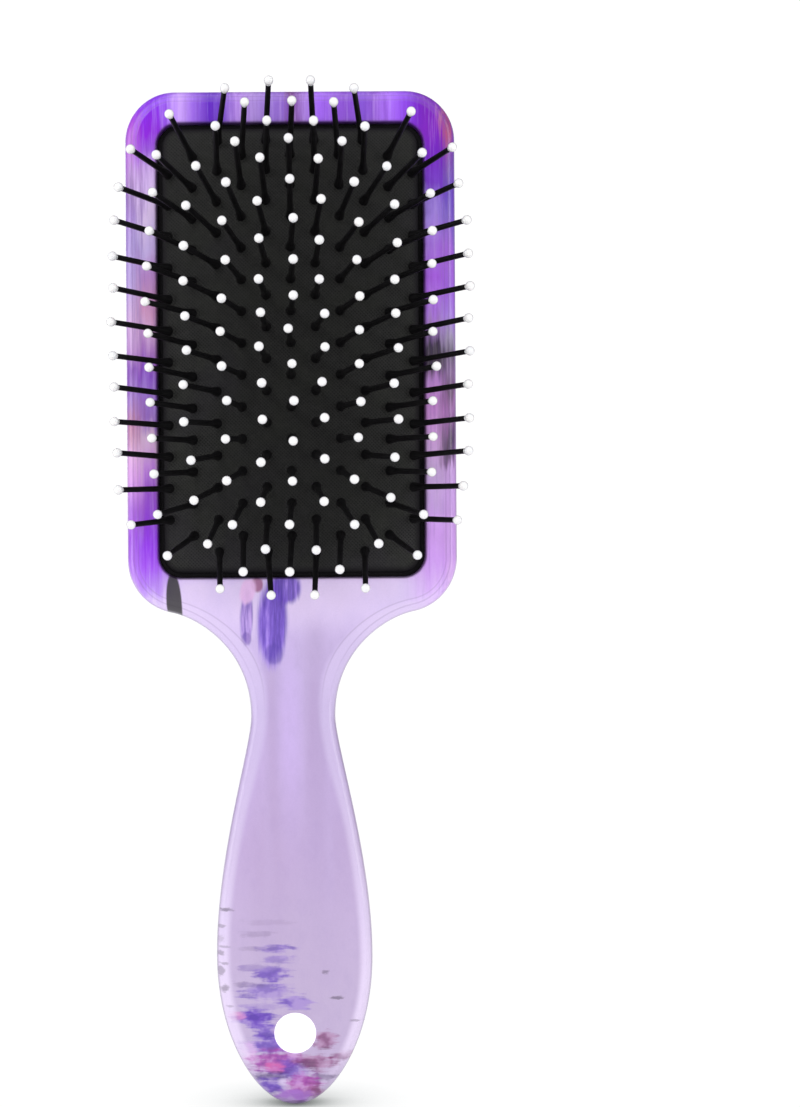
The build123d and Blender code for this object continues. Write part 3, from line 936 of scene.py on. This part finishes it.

# Ellipses for Shader.patches
# Painted shade and painted highlight on the handle: darker bands beside a lighter streak down the
# neck, darker zones lower down
HANDLE_SHADE_AND_SHEEN = [
    (-5.2, 76, 1.9, 30, 0.55, (178, 156, 200)), (5.6, 74, 2.6, 32, 0.60, (178, 156, 200)),
    (-0.8, 76, 2.6, 26, 0.60, (205, 181, 236)), (7, 46, 6.5, 26, 0.45, (180, 160, 202)),
    (-5.5, 42, 6, 22, 0.50, (182, 160, 200)), (7.5, 96, 8, 6, 0.40, (190, 170, 214)),
    (1, 14, 9, 22, 0.35, (184, 166, 200))]
BACK_STROKES = [
    (-27, 196, 7.5, 34, 0.80, "brushed", 10), (27, 192, 8, 36, 0.80, "brushed", -10),
    (-13, 208, 7, 32, 0.75, "blush", 5), (14, 210, 7, 30, 0.85, "brushed", -6),
    (0, 200, 7.5, 36, 0.80, "brushed"), (-21, 160, 6.5, 30, 0.70, "blush", 12),
    (21, 158, 6.5, 30, 0.65, "blush", -12), (-8, 164, 6, 32, 0.85, "brushed", 5),
    (8, 160, 6, 32, 0.80, "brushed", -5), (-31, 150, 4, 22, 0.60, "brushed", 9),
    (31, 150, 4, 22, 0.60, "brushed", -9), (-14, 134, 4.2, 18, 0.60, "brushed", 12),
    (14, 132, 4, 17, 0.55, "brushed", -12), (0, 138, 4.2, 24, 0.75, "blush")]
LOBES = [
    (-5, 101.2, 3.9, 11.4, 0.55, (192, 168, 228), -2), (-5, 101.5, 3.5, 10.6, 0.95, "veined", -2),
    (-4.6, 93.6, 2.2, 2.6, 0.50, (74, 48, 156)), (-1.6, 109.8, 3.6, 3.8, 0.92, "veined"),
    (-2.6, 112.4, 1.6, 1.4, 0.25, (96, 52, 186)), (-11.4, 102.6, 1.5, 7, 0.9, "faded", -2),
    (-11.5, 97.4, 1.2, 1.6, 0.5, (92, 60, 160)), (-8.8, 110.8, 1.5, 1.9, 0.8, (150, 66, 116)),
    (-11, 109.2, 1.9, 3.2, 0.85, (236, 192, 242), -14)]
SHOULDER_INK = [(-29.3, 106, 1.9, 8, 0.95, (44, 44, 42), 3)]
PALE_VIOLET, DUSK = (154, 130, 198), (98, 82, 122)
SMEARS = [
    (-4, 21.2, 4.2, 0.9, 0.70, "violet"), (-9.5, 21.2, 5, 0.5, 0.22, DUSK),
    (-9, 24.8, 3.4, 0.8, 0.25, DUSK), (-7, 27.6, 5, 0.6, 0.14, DUSK),
    (-4, 18.4, 3.4, 1.1, 0.50, "violet"), (-10, 16.4, 3.4, 0.9, 0.36, DUSK),
    (-6, 14.8, 4.2, 1.6, 0.85, "violet"), (-9.4, 16.4, 4, 0.9, 0.55, PALE_VIOLET),
    (-7.6, 10.8, 5.4, 2.2, 0.70, "violet"), (-11.6, 12.2, 3.6, 0.8, 0.45, DUSK),
    (0.2, 7.6, 3.6, 1.6, 0.85, "violet"), (-8, 6.8, 4.6, 0.9, 0.60, PALE_VIOLET),
    (-9.8, 3.8, 4.4, 1.9, 1.0, "violet"), (-7.4, 0.8, 2.8, 2, 0.90, "violet"),
    (-6.4, -3.2, 5.8, 2.3, 0.88, "violet"), (-14.4, 4.4, 1.8, 1, 0.70, (222, 150, 206)),
    (-11.4, -4.6, 1.8, 2.4, 0.80, (236, 196, 242)), (7.4, -1.6, 2.6, 2, 0.85, "wine"),
    (-4.2, -7.4, 6.4, 3, 0.92, "rose"), (-1.4, -9.4, 5.4, 2.6, 0.80, "violet"),
    (-5.2, -8.6, 2.4, 1.2, 0.75, (222, 104, 170)), (5, -7.6, 4.6, 2.2, 0.88, "wine"),
    (11.6, -6, 3.6, 1, 0.75, "wine"), (-6.4, -11.2, 4.4, 1.1, 0.80, (64, 44, 110)),
    (6, -11.4, 3.8, 0.8, 0.65, DUSK), (-6.4, -13.8, 3.8, 2.2, 0.95, "violet"),
    (-2.8, -12.6, 1.6, 1, 0.80, (222, 204, 240)), (1.6, -13.2, 3.8, 2.6, 0.95, "rose"),
    (4.4, -15.2, 2.6, 1.6, 0.88, "wine"), (-1, -16.4, 5, 1.8, 0.92, (166, 112, 204)),
    (0.4, -18.3, 3.4, 0.7, 0.70, (96, 72, 116))]
# Small dashes, all in one ink: (x, z, half width, half height, strength)
DASH_INK = (74, 64, 82)
DASHES = [
    (7.5, 15.3, 0.8, 0.45, 0.50), (10.4, 8.9, 1.5, 0.40, 0.60), (14.8, 3, 1.3, 0.30, 0.40),
    (-17, 30.7, 1.7, 0.40, 0.60), (-18, 26.6, 1, 0.40, 0.40), (-18.3, 23.4, 0.9, 0.8, 0.22),
    (-17.4, 21.5, 1.5, 0.30, 0.35), (-18.3, 20, 0.9, 0.55, 0.45), (-17.6, 17.4, 1.1, 0.35, 0.40),
    (-18.2, 15.6, 0.9, 1.1, 0.45), (-17.3, 11.2, 0.9, 0.9, 0.50), (-16.2, 6.8, 0.8, 0.30, 0.30)]


def handle_colour(mat, cloud):
    """Plain lilac, faintly lighter in long streaks, with painted shade and painted highlight bands
    over the handle's face.
    """
    colour = mat.along(mat.scaled(cloud - 0.5, 14, mat.z), HANDLE)
    long = mat.streaks((0.20, 0.1, 0.012), (3, 1), detail=3)
    light = mat.fade(long, 0.38, 0.72) * mat.band(mat.z, 35, 90, soft=14) * 0.22
    colour = mat.mix(light, colour, (218, 197, 244))
    colour = mat.patches(colour, HANDLE_SHADE_AND_SHEEN, soft=0.75, wobble=(cloud - 0.5) * 0.9)
    frost = mat.streaks((0.42, 0.3, 0.22), (17, 3), detail=5, rough=0.62)
    return mat.mix(mat.fade(frost, 0.42, 0.70) * 0.16, colour, (168, 148, 196))


def back_colour(mat):
    """The head's broad back: soft upward brush strokes on lilac."""
    drift = mat.streaks((0.030, 0.03, 0.014), (40, 13), detail=2, distort=0.3)
    hair = mat.streaks((0.70, 0.3, 0.030), (21, 5), detail=4, rough=0.6)
    rise = mat.fade(mat.scaled(drift - 0.5, 90, mat.z), 120, 215)
    colour = mat.mix(rise, (226, 206, 248), (150, 100, 232))
    colour = mat.mix(mat.fade(drift, 0.50, 0.66) * 0.55, colour, (204, 150, 226))
    inks = {
        "brushed": mat.ramp(hair, (0.34, 84, 48, 176), (0.46, 122, 78, 214),
                            (0.56, 156, 112, 236), (0.66, 196, 160, 248)),
        "blush": mat.ramp(hair, (0.34, 148, 66, 168), (0.48, 186, 102, 196),
                          (0.60, 220, 158, 226), (0.70, 240, 204, 246))}
    bend = (hair - 0.5) * 0.55 + (drift - 0.5) * 0.9
    return mat.patches(colour, BACK_STROKES, soft=0.34, wobble=bend, inks=inks)


def head_colour(mat, edge, fine, cloud):
    """The head: long streaks that run up the sides and across the top."""
    streak = mat.streaks((0.55, 0.45, 0.035), (5, 4), detail=4, rough=0.6, distort=0.25)
    slant = mat.noise(1.0, detail=2, at=mat.vector(mat.x * 0.02, mat.y * 0.16, mat.z * 0.03))
    height = mat.z + (streak - 0.5) * 16 + (slant - 0.5) * mat.fade(edge, 1.2, 0.1) * 40

    def side(outer, outer_x, inner, inner_x):
        inward = mat.fade(mat.x + (fine - 0.5) * 6, outer_x, inner_x)
        return mat.mix(inward, mat.along(height, outer), mat.along(height, inner))

    left = side(LEFT_OUTER, -39.5, LEFT_INNER, -36)
    right = side(RIGHT_OUTER, 39, RIGHT_INNER, 36)
    colour = mat.mix(mat.fade(mat.x + (streak - 0.5) * 30, -6, 6), left, right)
    back_face = mat.fade(edge, 1.5, 9) * mat.fade(mat.y, 1, 5)
    is_top = mat.fade(mat.z, 219, 226) * mat.fade(abs(mat.x), 35, 28) * (1.0 - back_face)
    colour = mat.mix(is_top, colour, mat.along(mat.x + (fine - 0.5) * 3, TOP))
    # fine light and dark hairs, then the softer colours of the side wall
    colour = mat.mix(mat.fade(fine, 0.48, 0.74) * 0.18, colour, (232, 206, 254))
    colour = mat.mix(mat.fade(fine, 0.50, 0.28) * 0.22, colour, (96, 36, 160))
    colour = mat.mix(mat.fade(edge, 0.7, 0.1) * 0.62, colour, mat.along(height, SIDE_WALL))
    colour = mat.mix(back_face, colour, back_colour(mat))
    colour = mat.node("HueSaturation", {"Saturation": 1.08, "Value": 1.03, "Color": colour})
    # plain lilac between the shoulders
    low = mat.fade(mat.z, 119, 110) * mat.fade(abs(mat.x), 36, 26)
    plain = mat.mix(mat.fade(cloud, 0.35, 0.65), (220, 201, 245), (229, 209, 248))
    return mat.mix(low, colour, plain)


def add_lobes(mat, colour, fine, facing):
    """Soft-edged lobes below the cushion."""
    vein = mat.streaks((1.25, 0.4, 0.10), (12, 3), detail=4, rough=0.6)
    inks = {
        "veined": mat.ramp(vein, (0.34, 88, 56, 172), (0.46, 112, 76, 198),
                           (0.56, 134, 98, 216), (0.66, 164, 130, 234)),
        "faded": mat.ramp(vein, (0.34, 112, 80, 176), (0.50, 150, 118, 208),
                          (0.64, 196, 162, 236))}
    wobble = mat.scaled(fine - 0.5, 0.42, 0.0)
    return mat.patches(colour, LOBES, 0.24, wobble, masks=[facing], inks=inks)


def add_painted_sheen(mat, colour, edge):
    """Painted highlight: a pale sheen band on the rim's roll, edged by thin lines of painted
    shade; also returns the band.
    """
    head = mat.fade(mat.z, 103, 111)
    width = 3.3 + mat.band(mat.z, 84, 101, soft=8) * 0.9 + head * -0.4
    waver = mat.streaks((0.05, 0.05, 0.02), (4, 7), detail=2)
    soft = waver * 0.8 + mat.band(mat.z, 60, 96, soft=10) * 0.8
    beyond = mat.fade(edge - width - soft, -1.6, 0.3)
    painted_sheen = mat.fade(edge, 0.15, 0.7) * (1.0 - beyond) * mat.fade(mat.z, -15, -2)
    colour = mat.mix(painted_sheen * mat.scaled(head, -0.70, 0.76), colour, mat.along(mat.z, PAINTED_SHEEN_COLOURS))
    # painted shade: thin dark lines along the roll's crease and the sheen band's inner edge
    roll_crease_shade = mat.fade(abs(edge - 1.8), 0.28, 0.05) * mat.fade(mat.z, 80, 104)
    band_edge_shade = mat.fade(abs(edge - width), 0.30, 0.05) * mat.fade(mat.z, 74, 96)
    shade_line = mat.math("MAXIMUM", roll_crease_shade, band_edge_shade)
    return mat.mix(shade_line * 0.24, colour, (120, 90, 150)), painted_sheen


def add_smears(mat, colour, painted_sheen):
    """Smears low on the handle, stretched across it and soaked into the lilac."""
    ragged = mat.streaks((0.14, 0.1, 0.90), (2, 5), detail=4, rough=0.62, distort=0.3)
    lumpy = mat.streaks((0.60, 0.3, 0.45), (11, 6), detail=2)
    wobble = (ragged - 0.5) * 2.6 + (lumpy - 0.5) * 0.9
    blot = mat.streaks((0.30, 0.2, 0.42), (7, 31), detail=2)
    soak = mat.scaled(mat.fade(blot, 0.36, 0.58), 0.38, 0.62)
    # the smears fade under the painted highlight band
    off_painted_sheen = 1.0 - painted_sheen * mat.fade(mat.z, -9, -4) * 0.72
    ramps = {
        "violet": [(146, 112, 208), (112, 74, 190), (92, 58, 170)],
        "wine": [(172, 108, 156), (142, 74, 128), (112, 54, 104)],
        "rose": [(204, 122, 208), (172, 74, 172), (138, 54, 152)]}
    inks = {name: mat.ramp(blot, *[(at, *rgb) for at, rgb in zip((0.34, 0.50, 0.66), colours)])
            for name, colours in ramps.items()}
    return mat.patches(colour, SMEARS, 0.42, wobble, masks=[off_painted_sheen, soak], inks=inks)


def printed_plastic():
    """Lilac plastic with an abstract streaked print in violet, magenta and pink."""
    mat = Shader("printed_shell")
    edge = mat.node("Attribute", output="Fac", attribute_name="edge")
    fine = mat.streaks((1.3, 0.9, 0.06), (2, 8), detail=3, rough=0.6)
    cloud = mat.streaks((0.06, 0.06, 0.03), (9, 2), detail=4, rough=0.6)
    facing = mat.fade(mat.y, 2, -2)  # 1 on the front
    colour = mat.mix(mat.fade(mat.z, 96, 107), handle_colour(mat, cloud),
                     head_colour(mat, edge, fine, cloud))
    colour = add_lobes(mat, colour, fine, facing)
    colour, painted_sheen = add_painted_sheen(mat, colour, edge)
    colour = mat.patches(colour, SHOULDER_INK, soft=0.10, masks=[facing])
    colour = add_smears(mat, colour, painted_sheen)
    nick = (mat.streaks((0.7, 0.4, 1.3), (5, 9), detail=4, rough=0.65) - 0.5) * 2.6
    dashes = [(*row, DASH_INK) for row in DASHES]
    colour = mat.patches(colour, dashes, soft=0.45, wobble=nick, masks=[facing])
    # painted shade: a grey line along the outline, where the side wall turns away from the light
    colour = mat.mix(mat.fade(edge, 0.60, 0.10) * 0.50, colour, (166, 160, 178))

    # unprinted white plastic inside the hanging hole, made to glow a little as painted light, and
    # a line of painted shade round the window
    white = (246, 243, 250)
    in_hole = mat.fade(mat.hypot(mat.x, mat.z), 5.25, 4.98)
    colour = mat.mix(in_hole, colour, white)
    outside = mat.window_distance(WIN_W, WIN_H, WIN_R)
    shade_line = mat.fade(mat.y, -3.5, -5) * mat.fade(outside, 0.75, 0.15)
    colour = mat.mix(shade_line * 0.85, colour, (40, 22, 54))

    # print grain, scuffed gloss and a slight orange-peel surface
    grain = mat.noise(2.4, detail=2, rough=0.6)
    tint = mat.ramp(grain, (0.3, 120, 100, 150), (0.7, 255, 250, 255))
    colour = mat.mix(0.05, colour, tint, "MULTIPLY")
    scuff = mat.streaks((0.5, 0.5, 0.12), detail=6, rough=0.7)
    peel = mat.noise(0.55, detail=3)
    # the emission makes the hole's wall glow: painted light
    mat.set(Base_Color=colour, IOR=1.47, Roughness=mat.scaled(scuff, 0.16, 0.24),
            Coat_Weight=0.22, Coat_Roughness=0.09, Specular_IOR_Level=0.40,
            Emission_Color=srgb(*white), Emission_Strength=in_hole * 0.45,
            Normal=mat.bump(peel * 0.8 + grain * 0.12, strength=0.10, distance=0.00015))
    return mat.material


# ------------------------------------------------------------------ other materials
def rubber():
    """Near-black rubber with a fine diagonal weave pressed in, in two crossing directions."""
    mat = Shader("pad_rubber")

    def wave(value):
        at = mat.vector(value, 0.0, 0.0)
        return mat.node("TexWave", {"Vector": at, "Scale": 0.36}, "Fac")

    weave = mat.math("MAXIMUM", wave(mat.x + mat.z), wave(mat.x - mat.z) * 0.8)
    mottle = mat.noise(0.12, detail=4, rough=0.6)
    tint = mat.noise(0.05, detail=3, rough=0.6)
    speck = mat.noise(0.9, detail=3, rough=0.6)
    fine = mat.noise(4.0, detail=2)
    colour = mat.mix(mat.fade(weave, 0.25, 0.9), (13, 13, 14), (42, 42, 41))
    colour = mat.mix(mat.fade(mottle, 0.40, 0.70) * 0.40, colour, (46, 48, 42))
    colour = mat.mix(mat.fade(tint, 0.50, 0.68) * 0.30, colour, (40, 36, 46))
    colour = mat.mix(mat.fade(speck, 0.45, 0.75) * 0.25, colour, (58, 57, 56))
    # the rubber is darker except low down and along the sides
    low = mat.fade(mat.z, 142, 118) * mat.fade(abs(mat.x), 6, 26)
    sides = mat.fade(abs(mat.x), 10, 24) * mat.band(mat.z, 130, 176, soft=16) * 0.6
    low_or_side = mat.math("MAXIMUM", low, sides)
    colour = mat.mix(mat.scaled(low_or_side, -0.40, 0.36), colour, (14, 14, 15))
    # painted shade: the rubber darkens towards the pad's rim, where the dome curves down
    rim = mat.window_distance(PAD_W, PAD_H, PAD_R)
    colour = mat.mix(mat.fade(rim, -1.9, -0.4) * 0.85, colour, (9, 6, 12))
    mat.set(Base_Color=colour, IOR=1.5, Roughness=mat.scaled(mottle, 0.16, 0.68),
            Specular_IOR_Level=0.22,
            Normal=mat.bump(weave * 0.8 + fine * 0.35, strength=0.5, distance=0.00012))
    return mat.material


def pin_nylon():
    mat = Shader("pin_nylon")
    mottle = mat.noise(0.5, detail=4, rough=0.6)
    fine = mat.streaks((2, 0.5, 2), detail=3)
    mat.set(Base_Color=mat.mix(mat.fade(mottle, 0.3, 0.7), (5, 4, 6), (15, 14, 16)),
            Roughness=mat.scaled(fine, 0.2, 0.36), IOR=1.45, Specular_IOR_Level=0.35,
            Normal=mat.bump(fine, strength=0.12, distance=0.00008))
    return mat.material


def ball_nylon():
    """White nylon, greyed by painted shade where it turns away from the eye."""
    mat = Shader("ball_nylon")
    mottle = mat.noise(0.35, detail=3)
    fine = mat.noise(6.0, detail=3, rough=0.6)
    turned_shade = mat.node("LayerWeight", {0: 0.45}, "Facing")
    colour = mat.mix(mat.fade(mottle, 0.3, 0.7), (240, 240, 243), (248, 247, 246))
    # painted shade greys the ball's edges
    colour = mat.mix(mat.fade(turned_shade, 0.35, 0.85) * 0.75, colour, (150, 146, 158))
    mat.set(Base_Color=colour, Roughness=mat.scaled(fine, 0.12, 0.30), IOR=1.5,
            Subsurface_Weight=0.1, Subsurface_Radius=(0.0006, 0.0005, 0.0005),
            Normal=mat.bump(fine, strength=0.08, distance=0.00005))
    return mat.material


def tray_plastic():
    mat = Shader("tray_plastic")
    mottle = mat.noise(0.3, detail=4, rough=0.6)
    fine = mat.noise(5.0, detail=2)
    mat.set(Base_Color=mat.mix(mat.fade(mottle, 0.3, 0.7), (30, 30, 32), (46, 45, 48)),
            Roughness=mat.scaled(fine, 0.2, 0.45),
            Normal=mat.bump(fine, strength=0.2, distance=0.0001))
    return mat.material


def paint(obj, material):
    obj.data.materials.clear()
    obj.data.materials.append(material)


PRINT = printed_plastic()
RUBBER = rubber()
NYLON = pin_nylon()
BALL = ball_nylon()
TRAY = tray_plastic()


def cad_material(name):
    if name == "cushion_tray":
        return TRAY
    if name == "cushion_membrane":
        return RUBBER
    if name.startswith("pins_"):
        return NYLON
    if name.startswith("tips_"):
        return BALL
    return PRINT


paint(front, PRINT)
paint(back, PRINT)
paint(pad, RUBBER)
for pins, balls, _ in columns:
    paint(pins, NYLON)
    paint(balls, BALL)
for name, node in frame["nodes"].items():
    paint(node, cad_material(name))

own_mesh(pad)


# ------------------------------------------------------------------ floor, light and camera
def floor():
    """White glowing floor just under the tip, with a painted contact shadow: occlusion near the
    brush darkens its glow.
    """
    bm = bmesh.new()
    bmesh.ops.create_grid(bm, x_segments=8, y_segments=8, size=6.0)
    mesh = bpy.data.meshes.new("floor")
    bm.to_mesh(mesh)
    bm.free()
    obj = link("floor", mesh)
    obj.location = (0, 4.0, (TIP_Z - 0.05) / MM)
    mat = Shader("floor")
    mottle = mat.noise(0.002, detail=2)
    open_sky = mat.node("AmbientOcclusion", {"Distance": 0.022}, "AO", samples=16)
    # painted contact shadow: the glow dims with occlusion near the brush
    glow = mat.ramp(open_sky, (0.0, 96, 100, 99), (0.35, 168, 171, 170),
                    (0.8, 244, 245, 245), (1.0, 255, 255, 255))
    mat.set(Base_Color=mat.mix(mottle, (30, 30, 30), (34, 34, 34)), Roughness=0.9,
            Specular_IOR_Level=0.0, Emission_Color=glow, Emission_Strength=1.02)
    paint(obj, mat.material)


def world():
    """White to the camera; as light, bright from the front (-Y) and dim from behind."""
    studio = bpy.data.worlds.new("studio")
    bpy.context.scene.world = studio
    studio.use_nodes = True
    nodes, links = studio.node_tree.nodes, studio.node_tree.links
    nodes.clear()
    output = nodes.new("ShaderNodeOutputWorld")
    seen = nodes.new("ShaderNodeBackground")
    seen.inputs["Color"].default_value = (1, 1, 1, 1)
    seen.inputs["Strength"].default_value = 1.05
    light = nodes.new("ShaderNodeBackground")
    light.inputs["Strength"].default_value = 0.65
    place = nodes.new("ShaderNodeTexCoord")
    split = nodes.new("ShaderNodeSeparateXYZ")
    share = nodes.new("ShaderNodeMapRange")
    share.inputs["From Min"].default_value = -1.0
    share.inputs["From Max"].default_value = 1.0
    ramp = nodes.new("ShaderNodeValToRGB")
    near, far = ramp.color_ramp.elements
    near.position, near.color = 0.10, (1.0, 1.0, 1.0, 1)
    far.position, far.color = 0.62, (0.16, 0.16, 0.17, 1)
    path = nodes.new("ShaderNodeLightPath")
    mix = nodes.new("ShaderNodeMixShader")
    links.new(place.outputs["Generated"], split.inputs[0])
    links.new(split.outputs["Y"], share.inputs[0])
    links.new(share.outputs[0], ramp.inputs[0])
    links.new(ramp.outputs[0], light.inputs[0])
    links.new(path.outputs["Is Camera Ray"], mix.inputs[0])
    links.new(light.outputs[0], mix.inputs[1])
    links.new(seen.outputs[0], mix.inputs[2])
    links.new(mix.outputs[0], output.inputs[0])


def area(name, place, size, power, height=None):
    """Area light aimed at the brush's middle; metres and watts."""
    light = bpy.data.lights.new(name, "AREA")
    light.energy = power
    light.size = size
    if height:
        light.shape = "RECTANGLE"
        light.size_y = height
    obj = bpy.data.objects.new(name, light)
    obj.location = place
    obj.rotation_mode = "QUATERNION"
    aim = Vector((0, 0, 0.11)) - Vector(place)
    obj.rotation_quaternion = aim.to_track_quat("-Z", "Y")
    obj.visible_camera = False
    bpy.context.scene.collection.objects.link(obj)


def top_sun():
    sun = bpy.data.lights.new("top", "SUN")
    sun.energy = 0.5
    sun.angle = math.radians(50)
    link("top", sun).rotation_euler = (math.radians(28), 0, math.radians(8))


def camera():
    """Square in front of the brush, shifted so that the brush sits left of the middle."""
    distance = 429.0  # from the head's face
    view_width = 274.0099  # width seen at that distance
    height = 107.415
    roll_degrees = 0.36
    data = bpy.data.cameras.new("camera")
    data.sensor_width = 36.0
    data.lens = data.sensor_width * distance / view_width
    data.shift_x = 0.0971093
    data.shift_y = 0.04019874
    data.clip_start, data.clip_end = 0.01, 100.0
    obj = link("camera", data)
    obj.location = (0, (-FRONT_HEAD - distance) / MM, height / MM)
    obj.rotation_euler = (math.radians(90), math.radians(roll_degrees), 0)
    scene = bpy.context.scene
    scene.camera = obj
    scene.view_settings.view_transform = "Standard"
    scene.view_settings.look = "None"


floor()
world()
area("key", place=(-0.55, -0.75, 0.75), size=0.5, power=3.5)
area("right", place=(0.75, -0.35, 0.30), size=0.30, power=2.2, height=0.8)
area("left", place=(-0.75, -0.15, 0.15), size=0.25, power=2.0, height=0.8)
area("behind", place=(-0.25, 0.95, 0.45), size=0.8, power=4.5)
top_sun()
camera()
